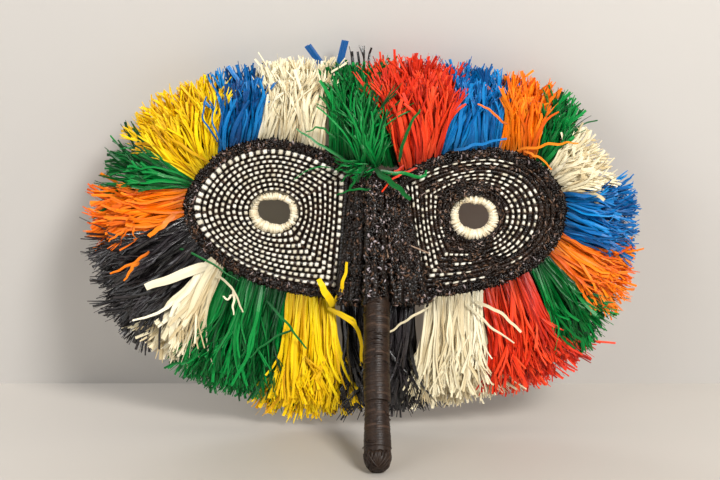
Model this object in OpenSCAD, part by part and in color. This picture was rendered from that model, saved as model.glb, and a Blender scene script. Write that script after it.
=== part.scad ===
/* [Panels] */
// Thickness of the coiled and sewn eye panels
panel_t = 4; // [3:0.5:5]
// Width of the black rim round each panel
rim_w = 6; // [4:0.5:7]
// Thickness of the black rim, front to back
rim_t = 7; // [5:0.5:8]

/* [Eyes] */
// Width of the left eye hole
left_eye_w = 18.5; // [15:0.5:19]
// Height of the left eye hole
left_eye_h = 14; // [12:0.5:15]
// Width of the right eye hole
right_eye_w = 18; // [15:0.5:19]
// Height of the right eye hole
right_eye_h = 15.6; // [12:0.5:16]
// Width of the white stitched band round each eye hole
eye_band = 4.6; // [3.5:0.1:5.5]

/* [Handle] */
// Forward tilt of the handle from the mask's plane, in degrees
handle_tilt = 36; // [30:1:42]
// Diameter of the upper winding, below the nose
upper_d = 13.8; // [13.8:0.2:15]
// Diameter of the lower winding where it starts, just under the upper one
waist_d = 12.2; // [11.4:0.2:12.4]
// Diameter of the lower winding at the end cap, kept below upper_d so that a collar slides on
end_d = 13.6; // [12.6:0.2:13.6]
// Diameter of the core stick
core_d = 8.4; // [7:0.2:9]
// Length of the upper winding
upper_len = 58; // [48:1:62]
// Length of the lower winding
lower_len = 25; // [20:1:32]
// Length of the folded end cap
cap_len = 12; // [9:0.5:13]

/* [Fringe] */
// Half of the trimmed fringe's width
fringe_half_w = 153; // [145:1:160]
// Half of the trimmed fringe's height
fringe_half_h = 102; // [92:1:106]
// Depth of one layer of fringe
layer_t = 9; // [7:0.5:10]
// How much shorter the front layer is, as a share of the full reach
front_reach = 0.93; // [0.85:0.01:1]
// Diameter of the cord that the fringe is knotted to
cord_d = 2.4; // [2:0.2:3]

/* [Hidden] */
$fn = 64;

// Clearance between pieces that lie against each other
gap = 0.2;

// The origin is the middle of the upper winding. The mask's own frame has its origin midway
// between the eyes in the panels' mid-plane, and the handle starts at neck in that frame.
neck = [0, -20, -46];
upper_mid = (gap + upper_len) / 2;
handle_dir = [0, -sin(handle_tilt), -cos(handle_tilt)];
mask_at = -(neck + upper_mid * handle_dir);

// Outer edge of each panel from the top of its nose side round to the bottom of it, as [x, z]
left_edge = [
    [-14, 27], [-36, 38], [-60, 42], [-84, 35], [-101, 19],
    [-107, 0], [-98, -19], [-78, -35], [-50, -45], [-22, -49]
];
right_edge = [
    [13, 24], [38, 33.5], [66, 36.5], [90, 28.5], [103, 12],
    [105, -4], [99, -20], [84, -34], [58, -44], [24, -49]
];
left_eye = [-56.3, 0.6];
right_eye = [53.8, -2.2];

// The fringe is trimmed to this rounded oval
fringe_mid = [-6.5, -15.5];
fringe_power = 2.4;

// Where each bunch ends, going from the top: [place along the panel's edge, angle of the trim]
left_bounds = [
    [0.75, 100.5], [2.12, 119], [3.0, 131], [4.0, 155], [4.35, 168],
    [5.15, 181], [6.36, 203], [6.74, 214.5], [8.03, 239.5], [8.9, 264]
];
right_bounds = [
    [0.05, 87], [0.95, 61], [2.05, 49], [2.8, 38], [3.17, 29],
    [4.1, 11], [5.5, -3.6], [6.3, -17], [6.95, -30], [8.0, -49], [8.85, -74]
];
// Colour of each bunch, in the same order as the spaces between the bounds
left_colors = ["ivory", "royalblue", "gold", "green", "darkorange", "#222222", "ivory", "green", "gold"];
right_colors = [
    "red", "royalblue", "darkorange", "green", "ivory",
    "royalblue", "darkorange", "green", "red", "ivory"
];
// The back layer's bunches are tied a little further round than the front layer's
back_turn = 1.2;

function spline(p0, p1, p2, p3, t) =
    0.5 * (2 * p1 + (p2 - p0) * t + (2 * p0 - 5 * p1 + 4 * p2 - p3) * t * t
    + (3 * p1 - p0 - 3 * p2 + p3) * t * t * t);

// Point at place u along an edge, where whole numbers are the edge's own points
function along(edge, u) =
    let (last = len(edge) - 1, i = min(floor(u), last - 1))
    spline(edge[max(i - 1, 0)], edge[i], edge[i + 1], edge[min(i + 2, last)], u - i);

// The same point moved outwards; turn is 1 on the left edge and -1 on the right
function outside(edge, turn, u, out) =
    let (last = len(edge) - 1)
    let (d = along(edge, min(u + 0.05, last)) - along(edge, max(u - 0.05, 0)))
    along(edge, u) + turn * out * [d[1], -d[0]] / norm(d);

// Outline of an edge moved outwards all along, or inwards where out is below 0
function moved_edge(edge, turn, out, steps = 4) =
    [for (k = [0 : (len(edge) - 1) * steps]) outside(edge, turn, k / steps, out)];

function backwards(list) = [for (k = [len(list) - 1 : -1 : 0]) list[k]];

// The side of a panel and its rim that faces the nose, moved by shift towards it
function nose_side(edge, turn, shift) = [
    for (p = [
        edge[0], outside(edge, turn, 0, -rim_w - gap),
        outside(edge, turn, len(edge) - 1, -rim_w - gap), edge[len(edge) - 1]
    ]) p + [shift, 0]
];

function trim_reach(a) =
    pow(pow(abs(cos(a)) / fringe_half_w, fringe_power)
    + pow(abs(sin(a)) / fringe_half_h, fringe_power), -1 / fringe_power);

function trim_point(a, reach) = fringe_mid + reach * trim_reach(a) * [cos(a), sin(a)];

function oval(mid, w, h, steps = 48) =
    [for (k = [0 : steps - 1]) mid + [cos(k * 360 / steps) * w, sin(k * 360 / steps) * h] / 2];

module in_mask() {
    translate(mask_at) children();
}

// Extrudes an [x, z] outline from depth front to depth back
module slab(front, back) {
    translate([0, back, 0]) rotate([90, 0, 0]) linear_extrude(back - front) children();
}

// Places a piece on the handle's axis, at a distance from the neck, with +Z along the handle
module on_handle(s) {
    translate(mask_at + neck + s * handle_dir) rotate([180 - handle_tilt, 0, 0]) children();
}

// A winding on the core stick, from diameter d_start to d_end
module winding(d_start, d_end, len) {
    difference() {
        cylinder(d1 = d_start, d2 = d_end, h = len);
        translate([0, 0, -1]) cylinder(d = core_d, h = len + 2);
    }
}

module handle_core() {
    color("saddlebrown") on_handle(gap) cylinder(d = core_d, h = upper_len + lower_len + cap_len / 2);
}

module handle_upper_winding() {
    color("#3c302a") on_handle(gap) winding(upper_d, upper_d, upper_len - gap);
}

module handle_lower_winding() {
    color("#3c302a") on_handle(upper_len) winding(waist_d, end_d, lower_len);
}

module handle_end_cap() {
    r = end_d / 2;
    flat = cap_len - r * 0.8;
    dome = [for (a = [0 : 10 : 90]) [r * cos(a), flat + r * 0.8 * sin(a)]];
    color("#2c2420") on_handle(upper_len + lower_len) difference() {
        rotate_extrude() polygon(concat([[0, 0], [r, 0]], dome));
        translate([0, 0, -1]) cylinder(d = core_d, h = 1 + cap_len / 2 + gap);
    }
}

// Everything beyond the neck, measured along the handle
module past_neck() {
    on_handle(0) translate([-100, -100, 0]) cube([200, 200, 200]);
}

// Flat webbing that joins the two panels behind the nose
module nose_web() {
    left = nose_side(left_edge, 1, 3 * gap);
    right = nose_side(right_edge, -1, -3 * gap);
    color("#2a2220") in_mask() slab(-2.8, 2.8) polygon(concat(left, backwards(right)));
}

module nose_crest() {
    color("#2a2220") difference() {
        in_mask() translate([0, -9.5, 25]) rotate([171, 0, 0]) cylinder(r1 = 4.6, r2 = 6.2, h = 86);
        past_neck();
    }
}

// One sloping side of the nose; side is -1 on the left and 1 on the right, and top and low are
// how far out its upper and lower ends lie
module nose_flank(side, top, low) {
    front = -rim_t / 2 - gap;
    color("#2a2220") difference() {
        in_mask() hull() {
            translate([side * (top - 4), front, 20]) rotate([90, 0, 0]) cylinder(r = 4, h = 2, $fn = 32);
            translate([side * 2.5, front, 21]) rotate([90, 0, 0]) cylinder(r = 2, h = 7, $fn = 32);
            translate([side * (low - 5), front, -44]) rotate([90, 0, 0]) cylinder(r = 5, h = 3, $fn = 32);
            translate([side * 7, front, -46]) rotate([90, 0, 0]) cylinder(r = 5, h = 15, $fn = 32);
        }
        in_mask() translate([0, -9.5, 27]) rotate([171, 0, 0]) cylinder(r = 6.3, h = 100);
        past_neck();
        in_mask() translate([side < 0 ? 0 : -60, -60, -100]) cube([60, 100, 200]);
    }
}

// A strip that follows a panel's edge between two distances out from it
module edge_strip(edge, turn, from, to) {
    polygon(concat(moved_edge(edge, turn, from), backwards(moved_edge(edge, turn, to))));
}

module rim(edge, turn) {
    color("#241c1a") in_mask() slab(-rim_t / 2, rim_t / 2) edge_strip(edge, turn, -rim_w, 0);
}

module panel(edge, turn, eye, w, h) {
    band = 2 * (eye_band + gap);
    color("antiquewhite") in_mask() slab(-panel_t / 2, panel_t / 2) difference() {
        polygon(moved_edge(edge, turn, -rim_w - gap));
        polygon(oval(eye, w + band, h + band));
    }
}

module eye_ring(eye, w, h) {
    color("white") in_mask() slab(-panel_t / 2 - 0.8, panel_t / 2 + 0.8) difference() {
        polygon(oval(eye, w + 2 * eye_band, h + 2 * eye_band));
        polygon(oval(eye, w, h));
    }
}

// Cord round the outside of a rim, which the bunches are knotted to
module fringe_cord(edge, turn) {
    color("#241c1a") in_mask() slab(-cord_d / 2, cord_d / 2) edge_strip(edge, turn, gap, gap + cord_d);
}

// One bunch of strips between two root points lists and two trim angles
module bunch(roots, a0, a1, front, back, reach) {
    steps = 6;
    tips = [for (k = [steps : -1 : 0]) trim_point(a0 + (a1 - a0) * k / steps, reach)];
    in_mask() slab(front, back) polygon(concat(roots, tips));
}

// Bunch number k of a side, counted from the top
module side_bunch(edge, turn, bounds, k, front, back, reach, shift) {
    steps = 6;
    space = 0.012;
    out = 2 * gap + cord_d + 0.6;
    u0 = bounds[k][0] + space;
    u1 = bounds[k + 1][0] - space;
    a0 = bounds[k][1] + turn * (0.35 + shift);
    a1 = bounds[k + 1][1] - turn * (0.35 - shift);
    roots = [for (i = [0 : steps]) outside(edge, turn, u0 + (u1 - u0) * i / steps, out)];
    bunch(roots, a0, a1, front, back, reach);
}

module front_left(k) {
    color(left_colors[k]) side_bunch(left_edge, 1, left_bounds, k, -layer_t - 0.5, -0.5, front_reach, 0);
}

module front_right(k) {
    color(right_colors[k])
        side_bunch(right_edge, -1, right_bounds, k, -layer_t - 0.5, -0.5, front_reach, 0);
}

module back_left(k) {
    color(left_colors[k]) side_bunch(left_edge, 1, left_bounds, k, 0.5, layer_t + 0.5, 1, back_turn);
}

module back_right(k) {
    color(right_colors[k])
        side_bunch(right_edge, -1, right_bounds, k, 0.5, layer_t + 0.5, 1, -back_turn);
}

// The bunch over the top of the nose, between the two panels
module top_bunch(front, back, reach, turn) {
    roots = [[-25, 38.2], [-12, 32], [10.5, 29]];
    a0 = left_bounds[0][1] - 0.35 + turn;
    a1 = right_bounds[0][1] + 0.35 + turn;
    color("green") bunch(roots, a0, a1, front, back, reach);
}

// The bunch behind the neck of the handle, between the two panels
module bottom_bunch(front, back, reach, turn) {
    roots = [[-19, -53.5], [0, -52.5], [21, -53.5]];
    a0 = left_bounds[9][1] + 0.35 + turn;
    a1 = right_bounds[10][1] + 360 - 0.35 + turn;
    color("#222222") bunch(roots, a0, a1, front, back, reach);
}

// Two flat strips that stick up above the fringe
module top_blue_strips() {
    color("royalblue") in_mask() for (x = [-31, -19.5])
        translate([x - 2.5, layer_t + 0.8, 52]) rotate([0, 3, 0]) cube([5, 0.8, 40 + (x + 31) * 0.2]);
}

handle_core();
handle_upper_winding();
handle_lower_winding();
handle_end_cap();
nose_web();
nose_crest();
nose_flank(-1, 13, 22);  // nose_left_flank
nose_flank(1, 14, 27);  // nose_right_flank
panel(left_edge, 1, left_eye, left_eye_w, left_eye_h);  // left_panel
panel(right_edge, -1, right_eye, right_eye_w, right_eye_h);  // right_panel
rim(left_edge, 1);  // left_rim
rim(right_edge, -1);  // right_rim
eye_ring(left_eye, left_eye_w, left_eye_h);  // left_eye_ring
eye_ring(right_eye, right_eye_w, right_eye_h);  // right_eye_ring
fringe_cord(left_edge, 1);  // left_fringe_cord
fringe_cord(right_edge, -1);  // right_fringe_cord
top_blue_strips();
top_bunch(-layer_t - 0.5, -0.5, front_reach, 0);  // front_tuft_top_green
front_left(0);  // front_tuft_l1_cream
front_left(1);  // front_tuft_l2_blue
front_left(2);  // front_tuft_l3_yellow
front_left(3);  // front_tuft_l4_green
front_left(4);  // front_tuft_l5_orange
front_left(5);  // front_tuft_l6_black
front_left(6);  // front_tuft_l7_cream
front_left(7);  // front_tuft_l8_green
front_left(8);  // front_tuft_l9_yellow
bottom_bunch(-layer_t - 0.5, -0.5, front_reach, 0);  // front_tuft_bottom_black
front_right(0);  // front_tuft_r1_red
front_right(1);  // front_tuft_r2_blue
front_right(2);  // front_tuft_r3_orange
front_right(3);  // front_tuft_r4_green
front_right(4);  // front_tuft_r5_cream
front_right(5);  // front_tuft_r6_blue
front_right(6);  // front_tuft_r7_orange
front_right(7);  // front_tuft_r8_green
front_right(8);  // front_tuft_r9_red
front_right(9);  // front_tuft_r10_cream
top_bunch(0.5, layer_t + 0.5, 1, back_turn);  // back_tuft_top_green
back_left(0);  // back_tuft_l1_cream
back_left(1);  // back_tuft_l2_blue
back_left(2);  // back_tuft_l3_yellow
back_left(3);  // back_tuft_l4_green
back_left(4);  // back_tuft_l5_orange
back_left(5);  // back_tuft_l6_black
back_left(6);  // back_tuft_l7_cream
back_left(7);  // back_tuft_l8_green
back_left(8);  // back_tuft_l9_yellow
bottom_bunch(0.5, layer_t + 0.5, 1, back_turn);  // back_tuft_bottom_black
back_right(0);  // back_tuft_r1_red
back_right(1);  // back_tuft_r2_blue
back_right(2);  // back_tuft_r3_orange
back_right(3);  // back_tuft_r4_green
back_right(4);  // back_tuft_r5_cream
back_right(5);  // back_tuft_r6_blue
back_right(6);  // back_tuft_r7_orange
back_right(7);  // back_tuft_r8_green
back_right(8);  // back_tuft_r9_red
back_right(9);  // back_tuft_r10_cream
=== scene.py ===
"""The looks of a hand-held fan mask: coiled and sewn eye panels, a knotted nose, a wound handle and
a trimmed raffia fringe. Lengths are in metres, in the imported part's own frame, and named sizes in
millimetres are multiplied by MM."""
import functools
import math

import bpy
import numpy as np
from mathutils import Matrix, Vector


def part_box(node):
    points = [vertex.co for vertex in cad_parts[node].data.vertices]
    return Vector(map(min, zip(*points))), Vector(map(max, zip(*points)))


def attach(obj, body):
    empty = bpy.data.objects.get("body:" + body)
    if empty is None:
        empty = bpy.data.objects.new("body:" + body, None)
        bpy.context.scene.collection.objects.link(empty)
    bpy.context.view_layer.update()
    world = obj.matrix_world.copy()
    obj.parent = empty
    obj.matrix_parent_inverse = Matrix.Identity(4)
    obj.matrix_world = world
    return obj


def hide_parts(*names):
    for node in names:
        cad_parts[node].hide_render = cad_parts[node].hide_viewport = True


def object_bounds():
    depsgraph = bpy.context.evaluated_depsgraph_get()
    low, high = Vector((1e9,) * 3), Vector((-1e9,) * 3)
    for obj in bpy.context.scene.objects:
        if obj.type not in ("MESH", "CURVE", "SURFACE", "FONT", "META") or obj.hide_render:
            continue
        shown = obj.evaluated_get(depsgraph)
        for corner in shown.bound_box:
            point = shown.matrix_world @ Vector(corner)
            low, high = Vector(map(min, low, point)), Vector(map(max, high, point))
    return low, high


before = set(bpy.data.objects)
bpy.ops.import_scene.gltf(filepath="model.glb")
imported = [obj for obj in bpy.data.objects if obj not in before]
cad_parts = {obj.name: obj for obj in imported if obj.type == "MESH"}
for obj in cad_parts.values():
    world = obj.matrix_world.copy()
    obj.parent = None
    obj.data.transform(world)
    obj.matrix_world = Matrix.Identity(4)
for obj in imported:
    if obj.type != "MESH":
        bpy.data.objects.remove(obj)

MM = 0.001
TURN = 2 * math.pi

cad_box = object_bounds()


# ---- places, taken from the frame

def centre(node):
    low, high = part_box(node)
    return (low + high) / 2


def node_points(node):
    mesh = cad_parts[node].data
    points = np.empty(len(mesh.vertices) * 3)
    mesh.vertices.foreach_get("co", points)
    return points.reshape(-1, 3)


def half_depth(node):
    low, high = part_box(node)
    return (high.y - low.y) / 2


def nodes_named(start):
    return sorted(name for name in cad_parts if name.startswith(start))


PLANE_Y = centre("left_panel").y
PANEL_FRONT = half_depth("left_panel")
RIM_DEPTH = half_depth("left_rim")
EYES = {"left": centre("left_eye_ring"), "right": centre("right_eye_ring")}
NOSE_X = centre("nose_crest").x
EYE_Z = (EYES["left"].z + EYES["right"].z) / 2

back_low = Vector([min(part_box(n)[0][i] for n in nodes_named("back_tuft")) for i in range(3)])
back_high = Vector([max(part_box(n)[1][i] for n in nodes_named("back_tuft")) for i in range(3)])
FRINGE_MID = (back_low + back_high) / 2
FRINGE_HALF = (back_high - back_low) / 2
FRINGE_POWER = 2.4


def at(x, z, depth=0.0):
    """A point in the mask's own frame: x and z in mm from between the eyes, depth in mm forwards."""
    return np.array([NOSE_X + x * MM, PLANE_Y - depth * MM, EYE_Z + z * MM])


# ---- mesh building

def place(name, data):
    """A new object in the scene."""
    made = bpy.data.objects.new(name, data)
    bpy.context.scene.collection.objects.link(made)
    return made


class Batch:
    """Vertices, faces and per-vertex values of many small closed shapes that make one piece."""

    def __init__(self):
        self.points, self.faces, self.values, self.count = [], [], {}, 0

    def add(self, points, faces, **values):
        points = np.asarray(points).reshape(-1, 3)
        self.points.append(points)
        self.faces += [[i + self.count for i in face] for face in faces]
        for name in ("shade", "along", "across"):
            value = np.broadcast_to(np.asarray(values.get(name, 0.5), dtype=float), len(points))
            self.values.setdefault(name, []).append(value)
        self.count += len(points)

    def piece(self, name, material, slot, stands_for=(), smooth=True):
        mesh = bpy.data.meshes.new(name)
        mesh.from_pydata(np.concatenate(self.points).tolist(), [], self.faces)
        for key, parts in self.values.items():
            attribute = mesh.attributes.new(key, "FLOAT", "POINT")
            attribute.data.foreach_set("value", np.concatenate(parts))
        mesh.polygons.foreach_set("use_smooth", [smooth] * len(mesh.polygons))
        mesh.materials.append(material)
        mesh.update()
        made = place(name, mesh)
        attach(made, "root")
        if stands_for:
            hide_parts(*stands_for)


def unit(vectors):
    return vectors / np.maximum(np.linalg.norm(vectors, axis=-1, keepdims=True), 1e-12)


def round_angles(count):
    return np.arange(count) / count * TURN


def twisted(twist, side):
    """The way a strip faces at each point: forwards, turned by twist towards its side."""
    return np.outer(np.cos(twist), [0, -1, 0]) + np.outer(np.sin(twist), side)


@functools.cache
def grid_faces(rings, sides, closed):
    """Quads of a grid that wraps round its sides, and round its rings too when closed."""
    faces = []
    for r in range(rings if closed else rings - 1):
        below, above = r * sides, ((r + 1) % rings) * sides
        for s in range(sides):
            t = (s + 1) % sides
            faces.append((below + s, below + t, above + t, above + s))
    if not closed:
        faces.append(tuple(range(sides - 1, -1, -1)))
        faces.append(tuple((rings - 1) * sides + s for s in range(sides)))
    return faces


def add_ribbon(batch, path, widths, normal, thickness, shade, cup=0.0):
    """A closed strip along path, facing normal; cup lifts its edges, as a share of its width."""
    path = np.asarray(path)
    rings = len(path)
    ahead = unit(np.gradient(path, axis=0))
    side = unit(np.cross(ahead, normal))
    up = np.cross(side, ahead)
    widths = np.asarray(widths)[:, None]
    half = side * widths / 2
    rise = up * (thickness / 2)
    edge = up * widths * cup
    points = np.stack([path - half + edge, path + rise, path + half + edge, path - rise], axis=1)
    along = np.repeat(np.linspace(0, 1, rings), 4)
    batch.add(points, grid_faces(rings, 4, closed=False), shade=shade, along=along,
              across=np.tile([-1, 0, 1, 0], rings))


def add_tube(batch, path, radii, up=(0, 1, 0), shade=0.5):
    """A closed tube along path, with one radius for each of its rings and sides."""
    rings, sides = radii.shape
    ahead = unit(np.gradient(path, axis=0))
    side = unit(np.cross(ahead, np.asarray(up, dtype=float)))
    top = np.cross(side, ahead)
    angle = round_angles(sides)
    ring = side[:, None, :] * np.cos(angle)[None, :, None] + top[:, None, :] * np.sin(angle)[None, :, None]
    points = path[:, None, :] + ring * radii[:, :, None]
    batch.add(points, grid_faces(rings, sides, closed=False), shade=shade,
              along=np.repeat(np.linspace(0, 1, rings), sides), across=np.tile(np.cos(angle), rings))


PILLOW_N = 5


def pillow_template():
    """A low cushion over the unit square: its crowned top, and one flat face below."""
    n = PILLOW_N
    steps = np.linspace(-1, 1, n)
    u, v = np.meshgrid(steps, steps, indexing="ij")
    height = (1 - np.abs(u) ** 4) * (1 - np.abs(v) ** 4)
    points = np.stack([u * (1 - 0.07 * v * v), v * (1 - 0.07 * u * u), height], axis=-1).reshape(-1, 3)
    faces = [(i * n + j, (i + 1) * n + j, (i + 1) * n + j + 1, i * n + j + 1)
             for i in range(n - 1) for j in range(n - 1)]
    border = ([i * n for i in range(n)] + [(n - 1) * n + j for j in range(1, n)]
              + [i * n + n - 1 for i in range(n - 2, -1, -1)] + [j for j in range(n - 2, 0, -1)])
    return points, faces + [tuple(reversed(border))]


PILLOW_POINTS, PILLOW_FACES = pillow_template()


def add_pillow(batch, middle, ahead, out, length, width, height, shade):
    """A crowned patch at middle, lying along ahead, with its back towards -out."""
    side = np.cross(out, ahead)
    points = (middle + PILLOW_POINTS[:, :1] * ahead * (length / 2)
              + PILLOW_POINTS[:, 1:2] * side * (width / 2) + PILLOW_POINTS[:, 2:] * out * height)
    batch.add(points, PILLOW_FACES, shade=shade, along=(PILLOW_POINTS[:, 0] + 1) / 2,
              across=PILLOW_POINTS[:, 1])


def waves(t, rng, count=5, low=0.5, high=4.0):
    """A smooth random curve over t, about -1 to 1."""
    total = np.zeros_like(t, dtype=float)
    for _ in range(count):
        total += np.sin(t * rng.uniform(low, high) + rng.uniform(0, TURN))
    return total / math.sqrt(count)


def side_rng(side, seed):
    """Random numbers for a left piece, or from the next seed for a right one."""
    return np.random.default_rng(seed + ["left", "right"].index(side))


def run_length(path):
    """Distance along a path to each of its points."""
    return np.concatenate([[0], np.cumsum(np.linalg.norm(np.diff(path, axis=0), axis=1))])


def smooth_curve(points, u):
    """A smooth curve through a few points, at the places u from 0 to 1."""
    knots = np.linspace(0, 1, len(points))
    slopes = np.gradient(points, knots, axis=0)
    i = np.clip(np.searchsorted(knots, u, side="right") - 1, 0, len(knots) - 2)
    step = (knots[i + 1] - knots[i])[:, None]
    t = (u - knots[i])[:, None] / step
    leaving = (2 * t ** 3 - 3 * t ** 2 + 1) * points[i] + (t ** 3 - 2 * t ** 2 + t) * step * slopes[i]
    return (leaving + (3 * t ** 2 - 2 * t ** 3) * points[i + 1]
            + (t ** 3 - t ** 2) * step * slopes[i + 1])


# ---- materials

def rgb(red, green, blue):
    """A display colour, 0 to 255, as a linear one."""
    return tuple((c / 255 / 12.92) if c < 11 else ((c / 255 + 0.055) / 1.055) ** 2.4
                 for c in (red, green, blue)) + (1.0,)


class Nodes:
    """Short calls for building a node material round its one shader."""

    def __init__(self, name):
        self.material = bpy.data.materials.new(name)
        self.material.use_nodes = True
        self.tree = self.material.node_tree
        self.shader = self.tree.nodes["Principled BSDF"]

    def new(self, kind, **settings):
        made = self.tree.nodes.new(kind)
        for key, value in settings.items():
            setattr(made, key, value)
        return made

    def link(self, source, target):
        self.tree.links.new(source, target)

    def value(self, name):
        return self.new("ShaderNodeAttribute", attribute_name=name).outputs["Fac"]

    def feed(self, source, name):
        """Links a source to one of the shader's own sockets."""
        self.link(source, self.shader.inputs[name])

    def fill(self, sockets, values):
        """Sets each socket to its number, or links it to its source."""
        for socket, value in zip(sockets, values):
            if isinstance(value, (int, float)):
                socket.default_value = value
            else:
                self.link(value, socket)

    def math(self, operation, a, b):
        made = self.new("ShaderNodeMath", operation=operation)
        self.fill(made.inputs, (a, b))
        return made.outputs[0]

    def noise(self, scale, detail=3.0, vector=None, roughness=0.6):
        made = self.new("ShaderNodeTexNoise")
        vector = vector or self.new("ShaderNodeTexCoord").outputs["Object"]
        names = ("Scale", "Detail", "Roughness", "Vector")
        self.fill([made.inputs[name] for name in names], (scale, detail, roughness, vector))
        return made.outputs["Fac"]

    def ramp(self, source, stops):
        """Colours by value: stops hold a place and a display colour, or one linear grey."""
        made = self.new("ShaderNodeValToRGB")
        ramp = made.color_ramp
        while len(ramp.elements) < len(stops):
            ramp.elements.new(0.5)
        for element, (place, colour) in zip(ramp.elements, stops):
            element.position = place
            element.color = rgb(*colour) if isinstance(colour, tuple) else (colour, colour, colour, 1.0)
        self.link(source, made.inputs["Fac"])
        return made.outputs["Color"]

    def mix(self, factor, a, b, blend="MIX"):
        """Mixes two colour sources."""
        made = self.new("ShaderNodeMix", data_type="RGBA", blend_type=blend)
        self.fill((made.inputs[0], made.inputs[6], made.inputs[7]), (factor, a, b))
        return made.outputs[2]

    def bump(self, height, distance, strength=0.6):
        made = self.new("ShaderNodeBump")
        made.inputs["Strength"].default_value = strength
        made.inputs["Distance"].default_value = distance
        self.link(height, made.inputs["Height"])
        self.feed(made.outputs["Normal"], "Normal")

    def strip_vector(self):
        """Coordinates that run with a strip, and differ from one strip to the next."""
        made = self.new("ShaderNodeCombineXYZ")
        self.link(self.math("MULTIPLY", self.value("across"), 2.2), made.inputs["X"])
        self.link(self.math("MULTIPLY", self.value("along"), 2.5), made.inputs["Y"])
        self.link(self.math("MULTIPLY", self.value("shade"), 90.0), made.inputs["Z"])
        return made.outputs["Vector"]


def strip_material(name, dark, mid, light, roughness, root_painted_shade=0.45, gloss=0.5):
    """A dyed raffia strip: long grain, paler and darker strips, and shade at the roots."""
    m = Nodes(name)
    grain = m.noise(1.6, 4.0, m.strip_vector(), 0.65)
    tone = m.math("ADD", m.math("MULTIPLY", m.value("shade"), 0.6), m.math("MULTIPLY", grain, 0.4))
    colour = m.ramp(tone, [(0.14, dark), (0.46, mid), (0.84, light)])
    # Painted shade: each strip is darkened towards its root, where the strips lie in each other's shadow
    depth = m.ramp(m.value("along"), [(0.0, root_painted_shade), (0.3, 0.9), (1.0, 1.0)])
    m.feed(m.mix(1.0, colour, depth, "MULTIPLY"), "Base Color")
    m.feed(m.ramp(grain, [(0.3, roughness - 0.1), (0.7, roughness + 0.12)]), "Roughness")
    m.shader.inputs["Specular IOR Level"].default_value = gloss
    m.bump(grain, 0.15 * MM, 0.7)
    return m.material


def fibre_material(name, dark, mid, tan, pale, roughness, scale=900.0, gloss=0.6):
    """Dark palm fibre that is wound or knotted: most of it near black, a few strips tan, and a few
    pale spots, which on the knotted fibre are painted glints.
    """
    m = Nodes(name)
    grain = m.noise(scale, 4.0)
    patches = m.noise(160.0, 2.0)
    tone = m.math("ADD", m.math("MULTIPLY", grain, 0.55), m.math("MULTIPLY", patches, 0.45))
    ground = m.ramp(tone, [(0.4, dark), (0.62, mid)])
    fleck_and_glint_level = m.math("ADD", m.value("shade"), m.math("MULTIPLY", grain, 0.12))
    # The highest shade values go from tan to the pale colour: the tan is the fibre's own, the pale spots are
    # painted glints
    tan_flecks_and_painted_glints = m.ramp(fleck_and_glint_level, [(0.9, tan), (1.0, pale)])
    share = m.ramp(fleck_and_glint_level, [(0.72, 0.0), (0.94, 1.0)])
    m.feed(m.mix(share, ground, tan_flecks_and_painted_glints), "Base Color")
    m.feed(m.ramp(patches, [(0.3, roughness - 0.06), (0.7, roughness + 0.12)]), "Roughness")
    m.shader.inputs["Specular IOR Level"].default_value = gloss
    m.bump(grain, 0.12 * MM, 0.7)
    return m.material


# Darkest, usual and palest colour of each strip, its roughness, how dark the painted shade at its root is,
# gloss
RAFFIA_LOOKS = {
    "cream": ((196, 172, 124), (238, 226, 190), (252, 244, 216), 0.5, 0.55, 0.35),
    "blue": ((0, 36, 88), (0, 98, 168), (18, 142, 214), 0.34, 0.4, 0.3),
    "yellow": ((202, 140, 0), (240, 196, 0), (250, 220, 4), 0.48, 0.45, 0.25),
    "green": ((0, 34, 12), (0, 100, 38), (4, 144, 62), 0.32, 0.34, 0.26),
    "orange": ((208, 74, 0), (246, 118, 0), (255, 146, 14), 0.45, 0.45, 0.28),
    "black": ((5, 4, 4), (14, 11, 11), (44, 38, 42), 0.22, 0.4, 0.7),
    "red": ((150, 16, 3), (224, 48, 14), (248, 84, 40), 0.42, 0.42, 0.28),
    "tan": ((84, 60, 44), (136, 104, 80), (178, 152, 130), 0.4, 0.9, 0.5),
}
RAFFIA = {colour: strip_material("raffia_" + colour, *look) for colour, look in RAFFIA_LOOKS.items()}
# The fourth colour, pale lilac grey on black_fibre and panel_black, paints glints on the knots; on
# wound_strip it is only a paler brown
BLACK_FIBRE = fibre_material("black_fibre", (4, 2, 1), (30, 17, 10), (112, 80, 58),
                             (172, 162, 166), 0.26, gloss=0.4)
PANEL_BLACK = fibre_material("panel_black", (8, 5, 3), (44, 28, 18), (122, 90, 66),
                             (160, 144, 138), 0.32, gloss=0.4)
WOUND_STRIP = fibre_material("wound_strip", (24, 13, 7), (46, 30, 18), (50, 34, 22),
                             (62, 44, 32), 0.44, 1200.0, 0.3)
PALE_STITCH = strip_material("pale_stitch", (200, 190, 164), (236, 231, 213), (248, 244, 230),
                             0.5, 0.9)
WHITE_STITCH = strip_material("white_stitch", (208, 188, 148), (240, 228, 198), (250, 240, 216),
                              0.5, 0.8)


# ---- outlines round an eye

def turns_right(a, b, c):
    return (b[0] - a[0]) * (c[1] - a[1]) <= (b[1] - a[1]) * (c[0] - a[0])


def hull(points):
    """The convex outline of flat points, anticlockwise."""
    points = sorted(set(map(tuple, np.round(points, 7))))
    outline = []
    for ordered in (points, points[::-1]):
        kept = []
        for p in ordered:
            while len(kept) > 1 and turns_right(kept[-2], kept[-1], p):
                kept.pop()
            kept.append(p)
        outline += kept[:-1]
    return np.array(outline)


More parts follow.
